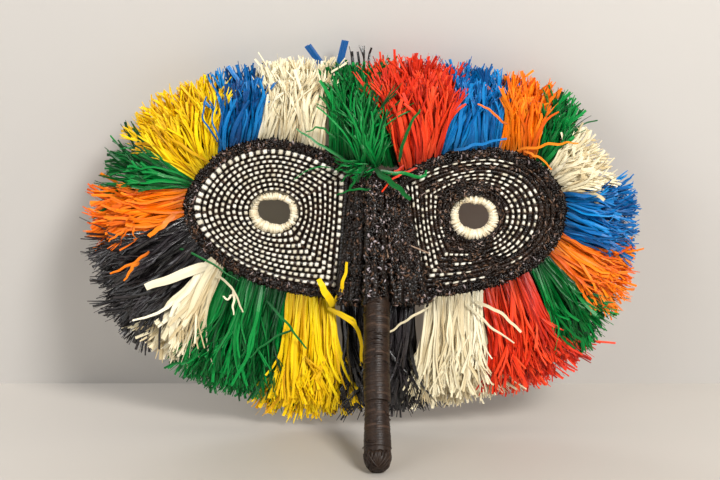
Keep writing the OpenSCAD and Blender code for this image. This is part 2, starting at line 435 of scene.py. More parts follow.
def reach_round(node, eye):
    """How far a node's outline lies from an eye, as a function of the angle about it."""
    outline = hull(node_points(node)[:, [0, 2]]) - [eye.x, eye.z]
    ends = np.roll(outline, -1, axis=0)
    steps = np.linspace(0, 1, 40, endpoint=False)[:, None, None]
    dense = (outline + (ends - outline) * steps).reshape(-1, 2)
    angle = np.arctan2(dense[:, 1], dense[:, 0])
    order = np.argsort(angle)
    angle, radius = angle[order], np.hypot(*dense[order].T)
    return lambda a: np.interp((a + math.pi) % TURN - math.pi, angle, radius, period=TURN)


def polar(eye, angle, radius, y):
    return np.stack([eye.x + np.cos(angle) * radius, y, eye.z + np.sin(angle) * radius], axis=-1)


def eye_ways(angle):
    """The ways straight out from an eye, and onwards round it, at an angle."""
    return (np.array([math.cos(angle), 0, math.sin(angle)]),
            np.array([-math.sin(angle), 0, math.cos(angle)]))


def add_coil(batch, eye, inner, outer, depth, rng, stitch, sides=12, steps=420, lump=0.15 * MM,
             span=None):
    """A coil round an eye between two reaches, with the ridges of its wrapping.

    It is closed, or runs over span, a first and a last angle.
    """
    angle = round_angles(steps) if span is None else np.linspace(*span, steps)
    low, high = inner(angle), outer(angle)
    middle, half = (low + high) / 2, (high - low) / 2
    line = polar(eye, angle, middle, np.zeros(steps))
    length = np.cumsum(np.linalg.norm(line - np.roll(line, 1, axis=0), axis=1))
    around = round_angles(sides)
    phase = length[:, None] / stitch * TURN + around[None, :] * 0.8
    swell = 1 + (lump * np.cos(phase) + 0.5 * lump * waves(length, rng, 4, 900, 2600)[:, None]) / depth
    if span is not None:
        swell[[0, -1]] *= 0.6
    radius = middle[:, None] + np.cos(around) * half[:, None] * 1.08 * swell
    y = PLANE_Y - np.sin(around) * depth * swell
    angles = np.repeat(angle[:, None], sides, axis=1)
    shade = np.repeat(0.35 + 0.35 * np.sin(length * 700 + rng.uniform(0, TURN)), sides)
    batch.add(polar(eye, angles, radius, y), grid_faces(steps, sides, closed=span is None), shade=shade,
              along=np.repeat(np.arange(steps) / steps, sides), across=np.tile(np.cos(around), steps))


def open_span(node, side):
    """First and last angle round the eye of a strip that is open towards the nose."""
    eye = EYES[side]
    points = node_points(node)[:, [0, 2]] - [eye.x, eye.z]
    nose_way = 0.0 if side == "left" else math.pi
    turned = (np.arctan2(points[:, 1], points[:, 0]) - nose_way) % TURN
    return turned.min() + nose_way, turned.max() + nose_way


def between(inner, outer, share):
    return lambda a: inner(a) + (outer(a) - inner(a)) * share


def panel_rows(side, shares):
    """Inner and outer reach of each row of a panel, which run between shares of its width."""
    inner, outer = (reach_round(side + part, EYES[side]) for part in ("_eye_ring", "_panel"))
    return [(between(inner, outer, a), between(inner, outer, b)) for a, b in zip(shares, shares[1:])]


def stitch_places(eye, reach, pitch, rng, start=0.0):
    """Angles, about pitch apart, round a coil."""
    angle = np.linspace(0, TURN, 1441)
    line = polar(eye, angle, reach(angle), np.zeros(len(angle)))
    length = run_length(line)
    count = max(8, round(length[-1] / pitch))
    wanted = (np.arange(count) + start + rng.uniform(-0.07, 0.07, count)) / count % 1.0 * length[-1]
    return np.interp(wanted, length, angle), length[-1] / count


def add_patch(batch, eye, reach, angle, depth, facing, length, width, height, rng):
    """A pale stitch on a coil at one angle; facing is -1 on the front and 1 on the back."""
    step = 0.01
    here, ahead = (polar(eye, np.array(a), reach(a), np.array(PLANE_Y)) for a in (angle, angle + step))
    tangent = unit(ahead - here)
    out = np.array([0.0, facing, 0.0])
    lean = rng.uniform(-0.1, 0.1)
    tangent = unit(tangent + lean * np.cross(out, tangent))
    middle = here + out * (depth - 0.25 * height)
    add_pillow(batch, middle, tangent, out, length, width, height, rng.uniform(0, 1))


LEFT_ROWS, RIGHT_ROWS = 9, 10
# The outermost left row is wider than the others: the width is shared as if in this many rows
LEFT_SHARES = 9.35
# How much smaller the left panel's squares are next to the nose, as a share
NOSE_SIDE_PINCH = 0.22
# Pitch of the outermost row's squares, of the innermost row's and growth from row to row, in mm
EDGE_PITCH, SQUARE_PITCH, PITCH_GROWTH = 4.1, 3.1, 0.06
# How high the pale squares and dashes stand over their rows in mm
SQUARE_HEIGHT, DASH_HEIGHT = 0.75, 0.8


def left_panel():
    """Close rows of pale squares between thin black stitches."""
    rng = np.random.default_rng(11)
    eye = EYES["left"]
    coils, squares = Batch(), Batch()
    rows = panel_rows("left", [row / LEFT_SHARES for row in range(LEFT_ROWS)] + [1.0])
    for row, (low, high) in enumerate(rows):
        add_coil(coils, eye, low, high, PANEL_FRONT * 0.96, rng, 3.4 * MM)
        reach = between(low, high, 0.5)
        outermost = row == LEFT_ROWS - 1
        pitch_wanted = (EDGE_PITCH if outermost else SQUARE_PITCH + PITCH_GROWTH * row) * MM
        for facing in (-1, 1):
            places, pitch = stitch_places(eye, reach, pitch_wanted, rng, rng.uniform(0, 1))
            for angle in places:
                room = high(angle) - low(angle)
                size = rng.uniform(0.84, 1.06) * (1 - NOSE_SIDE_PINCH * max(0.0, math.cos(angle)) ** 2)
                share = 0.68
                if outermost:
                    share = 0.42 if math.sin(angle) < -0.35 else 0.9
                add_patch(squares, eye, reach, angle, PANEL_FRONT * 0.98, facing,
                          pitch * 0.72 * rng.uniform(0.86, 1.08), room * share * size,
                          SQUARE_HEIGHT * MM, rng)
    coils.piece("left_panel_coils", PANEL_BLACK, "black_fibre", ["left_panel"])
    squares.piece("left_panel_stitches", PALE_STITCH, "panel_fibre")


# Where the right panel's rows carry pale dashes: row, from and to in degrees round the eye, share
# of places filled, and dash length in mm
RIGHT_DASHES = [
    (9, 56, 224, 0.92, 5.2), (9, 246, 278, 0.85, 5.0), (8, 56, 102, 0.75, 5.0), (8, 128, 222, 0.92, 4.4),
    (8, 304, 330, 0.4, 4.6), (7, 4, 66, 0.4, 3.8), (7, 108, 140, 0.5, 3.6), (7, 150, 226, 0.85, 3.6),
    (7, 232, 284, 0.65, 5.0), (6, -56, 140, 0.93, 4.6), (6, 168, 236, 0.9, 3.6), (5, -62, 128, 0.92, 4.0),
    (5, 150, 232, 0.9, 3.4), (5, 246, 276, 0.8, 3.8), (4, -66, 104, 0.92, 3.6), (4, 120, 226, 0.85, 3.0),
    (3, -66, 72, 0.92, 3.2), (3, 150, 262, 0.75, 2.8), (2, -60, 44, 0.85, 3.0), (2, 176, 214, 0.5, 2.2),
    (1, -54, 28, 0.5, 2.4),
]


def is_dashed(row, turned):
    """Whether a row of the right panel carries pale dashes at an angle, in degrees."""
    return any(r == row and (turned - start) % 360 <= end - start for r, start, end, _, _ in RIGHT_DASHES)


# Length, width and height of the short black fibres, each a value or a range, in mm
PANEL_KNOT = ((1.6, 3.4), (0.6, 1.1), (0.3, 0.8))
RIM_KNOT = ((1.8, 3.6), (0.8, 1.5), (0.4, 1.0))
CORD_KNOT = (2.6, 0.8, 0.25)
COIL_KNOT = ((1.8, 3.8), (0.4, 0.9), 0.3)
NOSE_KNOT = ((1.6, 4.0), (0.8, 1.5), (0.5, 1.6))
LOOSE_WIND = ((4, 8), (0.5, 1.1), 0.2)
# How many of them each piece has
RIGHT_KNOTS, RIM_KNOTS, CORD_KNOTS = 5200, 2300, 160


def right_panel():
    """Black rows with uneven, broken pale dashes, knotted over where there are none."""
    rng = np.random.default_rng(12)
    eye = EYES["right"]
    coils, dashes = Batch(), Batch()
    rows = panel_rows("right", [row / RIGHT_ROWS for row in range(RIGHT_ROWS + 1)])
    for low, high in rows:
        add_coil(coils, eye, low, high, PANEL_FRONT * 0.9, rng, 1.5 * MM, lump=0.3 * MM)
    for _ in range(RIGHT_KNOTS):
        row, angle = rng.integers(0, RIGHT_ROWS), rng.uniform(0, TURN)
        if is_dashed(row, math.degrees(angle)):
            continue
        low, high = rows[row]
        radius = between(low, high, rng.uniform(0, 1))(angle)
        facing = rng.choice([-1, 1])
        middle = polar(eye, np.array(angle), radius, np.array(PLANE_Y + facing * PANEL_FRONT * 0.95))
        run = eye_ways(angle)[1]
        out = np.array([0.0, facing, 0.0])
        lean = unit(run + np.cross(out, run) * rng.normal(0, 0.6))
        # A glint of 0.93 gives the panel's knots fewer painted glints
        add_knot(coils, middle, out, rng, PANEL_KNOT, lean, 0.93)
    for facing in (-1, 1):
        for row, start, end, share, dash in RIGHT_DASHES:
            low, high = rows[row]
            reach = between(low, high, 0.5)
            places, pitch = stitch_places(eye, reach, dash * MM, rng)
            for angle in places:
                turned = (math.degrees(angle) - start) % 360
                if turned > (end - start) or rng.uniform() > share:
                    continue
                room = high(angle) - low(angle)
                add_patch(dashes, eye, reach, angle, PANEL_FRONT * 0.98, facing,
                          pitch * rng.uniform(0.55, 0.85), room * rng.uniform(0.38, 0.66),
                          DASH_HEIGHT * MM, rng)
    coils.piece("right_panel_coils", PANEL_BLACK, "black_fibre", ["right_panel"])
    dashes.piece("right_panel_stitches", PALE_STITCH, "panel_fibre")


# How far each eye hole's edge lies from its middle: degrees round from the right, and mm
HOLE_SHAPES = {
    "left": [(0, 9.3), (29, 9.3), (55, 7.6), (90, 6.6), (118, 7.6), (141, 9.6), (153, 10.0), (192, 9.1),
             (217, 8.1), (235, 7.0), (270, 7.2), (300, 8.7), (322, 9.6), (355, 9.3)],
    "right": [(0, 8.8), (38, 8.4), (53, 8.5), (87, 7.2), (106, 8.3), (135, 10.2), (182, 8.8), (221, 8.3),
              (240, 7.2), (272, 7.5), (292, 7.7), (325, 8.5)],
}
EYE_STITCHES = 92


def eye_ring(side):
    """Pale strip sewn over the edge of an eye hole, with uneven stitch ends."""
    node = side + "_eye_ring"
    rng = side_rng(side, 21)
    eye = EYES[side]
    outer = reach_round(node, eye)
    turned, reach = np.array(HOLE_SHAPES[side]).T
    depth = half_depth(node)
    batch = Batch()
    for k in range(EYE_STITCHES):
        a = (k + rng.uniform(-0.3, 0.3)) / EYE_STITCHES * TURN
        way, run = eye_ways(a)
        lean = run * rng.uniform(-0.7, 0.7) * MM
        edge = np.interp(math.degrees(a), turned, reach, period=360) * rng.uniform(0.98, 1.03) * MM
        # The ends reach further out below the hole than above it
        end = outer(a) * (rng.uniform(0.92, 1.0) - 0.05 * math.sin(a))
        back_end = outer(a) * rng.uniform(0.9, 1.02)
        # From the back end over the hole's edge to the front end: reach, depth and the way it faces
        route, normals = [], []
        for r, y, inwards, back in ((back_end, 0.7, 0, 1), (edge * 1.25, 1.0, 0, 1),
                                    (edge * 1.03, 0.75, 1, 1), (edge * 0.97, 0.0, 1, 0),
                                    (edge * 1.03, -0.75, 1, -1), (edge * 1.2, -1.08, 0, -1),
                                    ((edge + end) / 2, -1.05, 0, -1), (end, -0.72, 0, -1)):
            route.append(np.array([eye.x, PLANE_Y, eye.z]) + way * r + [0, y * depth, 0])
            normals.append([0, back, 0] - way * inwards)
        route = np.array(route)
        route[-2] += lean * 0.5
        route[-1] += lean
        widths = np.array([0.8, 1.2, 1.0, 0.9, 1.0, 1.3, 1.6, 1.3]) * rng.uniform(0.85, 1.15) * MM
        add_ribbon(batch, route, widths, np.array(normals), 0.7 * MM, rng.uniform(0, 1))
    batch.piece(node + "_stitches", WHITE_STITCH, "white_fibre", [node])


# ---- black knotted fibre

def add_knot(batch, middle, out, rng, sizes, lean=None, glint=1.0):
    """A short strip that arches over a surface and sinks in at both ends.

    Sizes are its length, width and height in mm, each a number or a range. It lies along lean, or
    at a random turn. A glint below 1 leaves fewer of them tan or pale: fewer painted glints.
    """
    length, width, height = (MM * (rng.uniform(*size) if isinstance(size, tuple) else size)
                             for size in sizes)
    across = unit(np.cross(out, rng.normal(size=3))) if lean is None else lean
    t = np.linspace(-1, 1, 5)
    side = np.cross(out, across)
    bend = rng.uniform(-0.25, 0.25)
    path = (middle + np.outer(t * length / 2, across) + np.outer(t * t * bend * length, side)
            + np.outer(height * (1 - 1.6 * t * t), out))
    widths = width * (1 - 0.35 * t * t)
    add_ribbon(batch, path, widths, out, width * 0.6, rng.uniform(0, 1) ** 1.4 * glint, -0.2)


def rim(side):
    """The thick black edge: a wrapped core under rows of knotted fibre."""
    node = side + "_rim"
    rng = side_rng(side, 31)
    eye = EYES[side]
    inner, outer = reach_round(side + "_panel", eye), reach_round(node, eye)
    span = open_span(node, side)
    batch = Batch()
    add_coil(batch, eye, inner, outer, RIM_DEPTH * 0.9, rng, 1.3 * MM, 16, 900, 0.3 * MM, span)
    for _ in range(RIM_KNOTS):
        a = rng.uniform(*span)
        around = rng.uniform(-0.35 * math.pi, 1.35 * math.pi)
        low, high = inner(a), outer(a)
        half = (high - low) / 2
        way = eye_ways(a)[0]
        out = unit(way * math.cos(around) + np.array([0, -1, 0]) * math.sin(around))
        middle = (np.array([eye.x, PLANE_Y, eye.z]) + way * ((low + high) / 2 + half * math.cos(around))
                  - np.array([0, RIM_DEPTH * 0.94 * math.sin(around), 0]))
        # A glint of 0.92 gives the rim's knots fewer painted glints
        add_knot(batch, middle, out, rng, RIM_KNOT, None, 0.92)
    batch.piece(node + "_knots", BLACK_FIBRE, "black_fibre", [node])


def fringe_cord(side):
    """The twisted cord that the strips hang from."""
    node = side + "_fringe_cord"
    rng = side_rng(side, 33)
    eye = EYES[side]
    reach = reach_round(side + "_rim", eye)
    a = np.linspace(*open_span(node, side), 520)
    thick = 1.2 * MM
    path = polar(eye, a, reach(a) + thick * 1.2, np.full(len(a), PLANE_Y))
    length = run_length(path)
    around = round_angles(10)
    radii = thick * (1 + 0.16 * np.cos(2 * around[None, :] + length[:, None] / (2.6 * MM) * TURN))
    batch = Batch()
    add_tube(batch, path, radii, shade=0.4)
    for _ in range(CORD_KNOTS):
        k = rng.integers(5, len(path) - 5)
        out = unit(rng.normal(size=3))
        add_knot(batch, path[k] + out * thick * 0.9, out, rng, CORD_KNOT)
    batch.piece(node + "_twist", BLACK_FIBRE, "black_fibre", [node])


def add_sewn_coil(batch, path, radius, rng, knots, up=(0, -1, 0)):
    """A straightish coil, wrapped and knotted over."""
    path = np.asarray(path)
    length = run_length(path)
    steps = max(12, int(length[-1] / (0.45 * MM)))
    s = np.linspace(0, length[-1], steps)
    line = np.stack([np.interp(s, length, path[:, i]) for i in range(3)], axis=1)
    size = np.interp(s, length, radius)
    around = round_angles(12)
    phase = s[:, None] / (1.9 * MM) * TURN + around[None, :]
    radii = size[:, None] * (1 + 0.07 * np.cos(phase) + 0.05 * waves(s, rng, 4, 800, 2400)[:, None])
    radii[0] *= 0.5
    radii[-1] *= 0.5
    add_tube(batch, line, radii, up, rng.uniform(0.1, 0.6))
    ahead = unit(np.gradient(line, axis=0))
    for _ in range(knots):
        k = rng.integers(1, steps - 1)
        out = unit(np.cross(ahead[k], rng.normal(size=3)) + np.asarray(up) * 0.6)
        middle = line[k] + out * size[k] * 0.98
        add_knot(batch, middle, out, rng, COIL_KNOT)


HANDLE_WAY = unit(np.array(centre("handle_lower_winding") - centre("handle_upper_winding")))
HOLD = np.array(centre("handle_upper_winding"))


def shaft(node):
    """Where a node starts and ends along the handle from HOLD, and its radius at both ends."""
    offset = node_points(node) - HOLD
    along = offset @ HANDLE_WAY
    radius = np.linalg.norm(offset - np.outer(along, HANDLE_WAY), axis=1)
    start, end = along.min(), along.max()
    return start, end, radius[along < start + MM].max(), radius[along > end - MM].max()


NECK = HOLD + HANDLE_WAY * shaft("handle_upper_winding")[0]
NECK_DEPTH = (PLANE_Y - NECK[1]) / MM
NECK_Z = (NECK[2] - EYE_Z) / MM
# Height of the nose's top and place of its crest in mm, and how deep its coils lie under its surface
NOSE_TOP, CREST_X, COIL_SINK = 24.0, -1.2, 1.5
# Radius in mm of the nose's and the web's coils at their top and bottom, and of its two braces
NOSE_COIL, WEB_COIL, BRACE_COIL = (1.5, 2.2), (2.1, 2.8), (2.2, 2.2)


def nose_down(z):
    """How far down the nose a height lies, from 0 at its top to 1 at the neck."""
    return (NOSE_TOP - z) / (NOSE_TOP - NECK_Z)


def nose_reach(side, z):
    """Distance in mm from the crest's middle to the nose's outer edge; side is -1 or 1."""
    down = nose_down(z)
    return 12.0 + 8.5 * down if side < 0 else 15.5 + 13.5 * down


def nose_depth(x, z):
    """Depth in mm of the nose's front surface: a rounded crest between two valleys and two slopes."""
    down = np.clip(nose_down(z), 0, 1)
    off = np.abs(x - CREST_X)
    radius = 4.8 + 1.3 * down
    axis = 9.0 + (NECK_DEPTH - 9.0) * down
    crest = axis + np.sqrt(np.maximum(radius ** 2 - off ** 2, 0.0)) - 9.0 * (off > radius)
    share = np.clip((off - radius) / (nose_reach(np.sign(x - CREST_X), z) - radius), 0, 1)
    inner = 9.0 + 7.5 * down
    slope = 3.4 + (inner - 3.4) * (1 - share ** 1.6) ** 0.8
    top = np.clip((NOSE_TOP - z) / 5.0, 0, 1) ** 0.5
    return np.maximum(crest, slope) * (0.45 + 0.55 * top)


def on_nose(x, z, above=0.0):
    return at(x, z, float(nose_depth(x, z)) + above)


def nose_column(side, share, rng):
    """The route of one coil down the nose, a share of the way from the crest to an outer edge."""
    z = np.linspace(NOSE_TOP, NECK_Z - 1.5, 26)
    reach = np.array([nose_reach(side, height) for height in z])
    x = CREST_X + side * reach * share + 0.7 * waves(z, rng, 3, 0.1, 0.4)
    above = 0.5 * waves(z, rng, 3, 0.1, 0.4) - COIL_SINK
    return np.array([on_nose(*place) for place in zip(x, z, above)])


def nose_knots(batch, rng, count, low, high, glint):
    """Messy short fibres over the nose between two shares across it, -1 at its left edge to 1."""
    for _ in range(count):
        z = rng.uniform(NECK_Z - 3, NOSE_TOP)
        across = rng.uniform(low, high)
        side = -1 if across < 0 else 1
        x = CREST_X + across * nose_reach(side, z)
        here, right, above = (on_nose(*place) for place in ((x, z), (x + 0.6, z), (x, z + 0.6)))
        out = unit(np.cross(above - here, right - here))
        out = out if out[1] < 0 else -out
        run = unit(above - here)
        lean = unit(run + np.cross(out, run) * rng.normal(0, 0.6)) if rng.uniform() < 0.6 else None
        add_knot(batch, here - out * 0.1 * MM, out, rng, NOSE_KNOT, lean, glint)


def nose():
    """A ridge of knotted coils that run down from between the eyes to the neck of the handle."""
    rng = np.random.default_rng(41)
    # Label, the shares across the nose it spans, its node, coils, knots and glint: fewer painted glints on
    # the flanks, which lie in shade, than on the lit crest
    parts = (("crest", -0.3, 0.28, "nose_crest", 3, 760, 1.0),
             ("left", -1.0, -0.34, "nose_left_flank", 4, 760, 0.86),
             ("right", 0.32, 1.0, "nose_right_flank", 6, 1150, 0.92))
    for label, low, high, node, coils, knots, glint in parts:
        batch = Batch()
        for k in range(coils):
            share = low + (high - low) * (k + 0.5) / coils
            side = -1 if share < 0 else 1
            line = nose_column(side, abs(share), rng)
            add_sewn_coil(batch, line, np.linspace(*NOSE_COIL, len(line)) * MM, rng, 40)
        nose_knots(batch, rng, knots, low, high, glint)
        batch.piece("nose_%s_coils" % label, BLACK_FIBRE, "black_fibre", [node])
    web = Batch()
    for k in range(9):
        share = k / 8 * 2 - 1
        add_sewn_coil(web, [at(share * 15.5, 23), at(share * 22 + 1, -47.5)],
                      np.array(WEB_COIL) * MM, rng, 70, (0, 1, 0))
    for low, high in (((8, -46, 8), (31, -47, 3)), ((-8, -46, 8), (-21, -47, 3))):
        add_sewn_coil(web, [at(*low), at(*high)], np.array(BRACE_COIL) * MM, rng, 90)
    web.piece("nose_web_coils", BLACK_FIBRE, "black_fibre", ["nose_web"])


# Stray fibres on the nose: width in mm, and points as (x, z, height above the nose)
NOSE_FIBRES = [
    (0.9, [(10, -12.5, 0.4), (18, -16, 1.0), (29, -20.5, 2.0)]),
    (1.4, [(-7.2, 23.5, 0.5), (-6.2, 20, 0.9), (-4.3, 16, 0.4)]),
    (1.2, [(4.4, -11, 0.3), (5.2, -17, 0.8), (6.6, -23, 0.3)]),
    (0.8, [(-8, 12, 0.3), (-4.5, 14, 0.8), (-1, 11, 0.3)]),
    (0.9, [(-2, -12, 0.3), (0, -16, 0.7), (3, -21, 0.3)]),
]


def nose_fibres():
    """A few undyed fibres and a twig caught in the nose's knots."""
    rng = np.random.default_rng(42)
    batch = Batch()
    for width, places in NOSE_FIBRES:
        path = smooth_curve(np.array([on_nose(*place) for place in places]), np.linspace(0, 1, 12))
        add_ribbon(batch, path, np.full(12, width * MM), [0, -1, 0], 0.4 * MM, rng.uniform(0.3, 0.9))
    batch.piece("nose_stray_fibres", RAFFIA["tan"], "black_fibre")


# How far each turn of the handle's strip runs on from the last, and the strip's thickness
TURN_PITCH, STRIP_THICK = 1.3 * MM, 0.26 * MM


def wound(node, seed, loose, proud=0.0):
    """A strip wound round the handle: each turn overlaps the one before.

    Its end stands proud of the plain node by that much.
    """
    rng = np.random.default_rng(seed)
    start, end, radius_start, radius_end = shaft(node)
    sides, per_turn = 40, 8
    steps = int((end - start) / TURN_PITCH * per_turn)
    s = np.linspace(start, end, steps)
    around = round_angles(sides)
    tilt = 0.35 * np.cos(around[None, :] - 0.6) * waves(s, rng, 3, 40, 110)[:, None]
    turn = (s[:, None] - start) / TURN_PITCH + around[None, :] / TURN + tilt + 1
    share = turn % 1.0
    lift = rng.uniform(-0.1, 0.1, int(turn.max()) + 2)[turn.astype(int)] * MM
    edge = np.minimum(share / 0.14, 1.0) * STRIP_THICK - share * 0.14 * MM
    radius = np.linspace(radius_start, radius_end + proud, steps)[:, None]
    radii = radius - 0.2 * MM + edge + lift
    radii[0] *= 0.93
    radii[-1] *= 0.93
    sway = 0.25 * MM * waves(s, rng, 3, 60, 160)
    path = HOLD + np.outer(s, HANDLE_WAY) + np.outer(sway, [1, 0, 0])
    batch = Batch()
    shades = rng.uniform(0, 0.95, int(turn.max()) + 2)[turn.astype(int)]
    add_tube(batch, path, radii, (1, 0, 0), shades.reshape(-1))
    front = unit(np.cross(HANDLE_WAY, [1.0, 0, 0]))
    for _ in range(loose):
        k = rng.integers(4, steps - 4)
        a = rng.uniform(0, TURN)
        out = unit(front * math.cos(a) + np.array([1.0, 0, 0]) * math.sin(a))
        lean = unit(np.cross(HANDLE_WAY, out) + HANDLE_WAY * rng.uniform(-0.4, 0.4))
        add_knot(batch, path[k] + out * radius[k], out, rng, LOOSE_WIND, lean)
    batch.piece(node + "_strip", WOUND_STRIP, "dark_winding", [node])


CAP_FOLDS = 22


def end_cap():
    """The end of the handle: strips folded over the tip and bound down."""
    rng = np.random.default_rng(53)
    node = "handle_end_cap"
    start, end, radius, _ = shaft(node)
    radius += 0.45 * MM
    length = end - start
    u = np.linspace(0, 1, 30)
    profile = radius * np.sqrt(np.maximum(1 - np.maximum((u - 0.3) / 0.7, 0) ** 2.4, 0.0004)) - 0.3 * MM
    profile = np.maximum(profile, 0.2 * MM)
    around = round_angles(48)
    ripple = 1 + 0.025 * np.cos(11 * around[None, :] + 4 * u[:, None]) * np.minimum(u[:, None] * 3, 1)
    batch = Batch()
    add_tube(batch, HOLD + np.outer(start + u * length, HANDLE_WAY), profile[:, None] * ripple, (1, 0, 0))
    first = np.array([1.0, 0, 0])
    second = np.cross(HANDLE_WAY, first)
    middle = start + length * 0.3
    for k in range(CAP_FOLDS):
        a = k / CAP_FOLDS * math.pi + rng.uniform(-0.12, 0.12)
        across = first * math.cos(a) + second * math.sin(a)
        shift = np.cross(HANDLE_WAY, across) * rng.uniform(-0.5, 0.5) * radius
        bend = np.linspace(-1, 1, 17) * rng.uniform(1.6, 1.75)
        over = radius - 0.25 * MM + 0.008 * k * MM
        path = [HOLD + HANDLE_WAY * (middle + math.cos(b) * (length * 0.7 - 0.2 * MM))
                + across * math.sin(b) * over + shift * math.cos(b) for b in bend]
        normals = [unit(HANDLE_WAY * math.cos(b) + across * math.sin(b)) for b in bend]
        widths = rng.uniform(1.2, 2.2) * MM * (1 - 0.45 * np.cos(bend) ** 2)
        add_ribbon(batch, path, widths, np.array(normals), 0.5 * MM, rng.uniform(0, 1))
    batch.piece(node + "_folds", WOUND_STRIP, "dark_winding", [node])


# ---- fringe

def trim_reach(angle):
    """How far the trimmed oval lies from the fringe's middle."""
    return ((abs(math.cos(angle)) / FRINGE_HALF.x) ** FRINGE_POWER
            + (abs(math.sin(angle)) / FRINGE_HALF.z) ** FRINGE_POWER) ** (-1 / FRINGE_POWER)


def line_at(points, share):
    """A point part of the way along a line of points."""
    place = min(max(share, 0.0), 1.0) * (len(points) - 1)
    i = min(int(place), len(points) - 2)
    return points[i] + (points[i + 1] - points[i]) * (place - i)


def bunch_lines(node):
    """A bunch's roots and its trimmed ends, each as an ordered line of [x, z] points."""
    flat = np.unique(np.round(node_points(node)[:, [0, 2]], 6), axis=0)
    offset = flat - [FRINGE_MID.x, FRINGE_MID.z]
    angle = np.arctan2(offset[:, 1], offset[:, 0])
    mean = math.atan2(offset[:, 1].mean(), offset[:, 0].mean())
    angle = (angle - mean + math.pi) % TURN - math.pi
    share = np.hypot(*offset.T) / [trim_reach(a + mean) for a in angle]
    trimmed = share > share.max() - 0.015
    ends = flat[trimmed][np.argsort(angle[trimmed])]
    roots = flat[~trimmed][np.argsort(angle[~trimmed])]
    return roots, ends


# Strips a square millimetre in each layer
FRONT_DENSITY = 0.125
BACK_DENSITY = 0.105
# Points along a strip, and how wide a small clump of strips is at the trimmed end
RINGS = 10
CLUMP = 4.0 * MM
# How far a strip's hidden start runs in past the cord, and how far each layer spreads in depth at
# its tips, in mm
HIDDEN_START = 3.4
FRONT_SPREAD, BACK_SPREAD = 13.0, 11.0
# Narrowest and widest strip of a usual bunch in mm
STRIP_WIDTH = (0.8, 2.2)
# Share of the strips that split in two at the tip, and of those that stray far sideways
FRAYED_SHARE, STRAY_SHARE = 0.25, 0.17
# How much longer or shorter than the plain bunch some are trimmed
TRIMS = {"top_green": 0.965, "l2_blue": 1.01, "l3_yellow": 1.015, "l7_cream": 0.95, "l8_green": 0.975,
         "l9_yellow": 1.02, "r3_orange": 1.02, "r4_green": 1.02, "r5_cream": 0.955, "r8_green": 0.98,
         "r10_cream": 0.975}


def add_strand(batch, root, tip, rng, width, front, bend, arch, shade, curl=0.4):
    """A flat strip from root to tip that bows sideways and forwards, and may fray at its end."""
    w = np.linspace(0, 1, RINGS)
    way = tip - root
    length = np.linalg.norm(way)
    side = unit(np.cross(way, [0, 1, 0]))
    hook = np.maximum(w - 0.5, 0) ** 2 * rng.normal(0, curl)
    path = (root + np.outer(w, way) + np.outer((bend * (w * w - 0.35 * w) + hook) * length, side)
            + np.outer(arch * np.sin(math.pi * w), [0, -front, 0]))
    for size, sway in ((0.9, side), (0.6, [0, 1, 0])):
        path += np.outer(size * MM * waves(w * 6, rng, 3, 0.6, 2.2) * w, sway)
    widths = width * np.interp(w, [0, 0.12, 0.6, 1], [0.5, 1.0, 1.0, rng.uniform(0.35, 0.95)])
    twist = rng.normal(0, 0.7) + rng.normal(0, 0.8) * w
    add_ribbon(batch, path, widths, twisted(twist, side), 0.2 * MM, shade, rng.uniform(-0.2, 0.2))
    if rng.uniform() < FRAYED_SHARE:
        for turn in (-1, 1):
            start = path[-3]
            end = path[-1] + side * turn * rng.uniform(0.6, 2.6) * MM + unit(way) * rng.uniform(-1, 2) * MM
            split = start + np.outer(np.linspace(0, 1, 4), end - start)
            split += np.outer(np.array([0, 0.3, 0.3, 0]) * MM, [0, -front, 0])
            add_ribbon(batch, split, width * np.array([0.5, 0.45, 0.4, 0.2]), [0, -1, 0], 0.2 * MM, shade)


# How much wider than usual a bunch's strips are
WIDE_BUNCHES = {"l2_blue": 1.25, "l5_orange": 1.35, "l7_cream": 1.45, "l9_yellow": 1.2, "r9_red": 1.05,
                "r5_cream": 1.15, "r2_blue": 1.1, "top_green": 1.1}


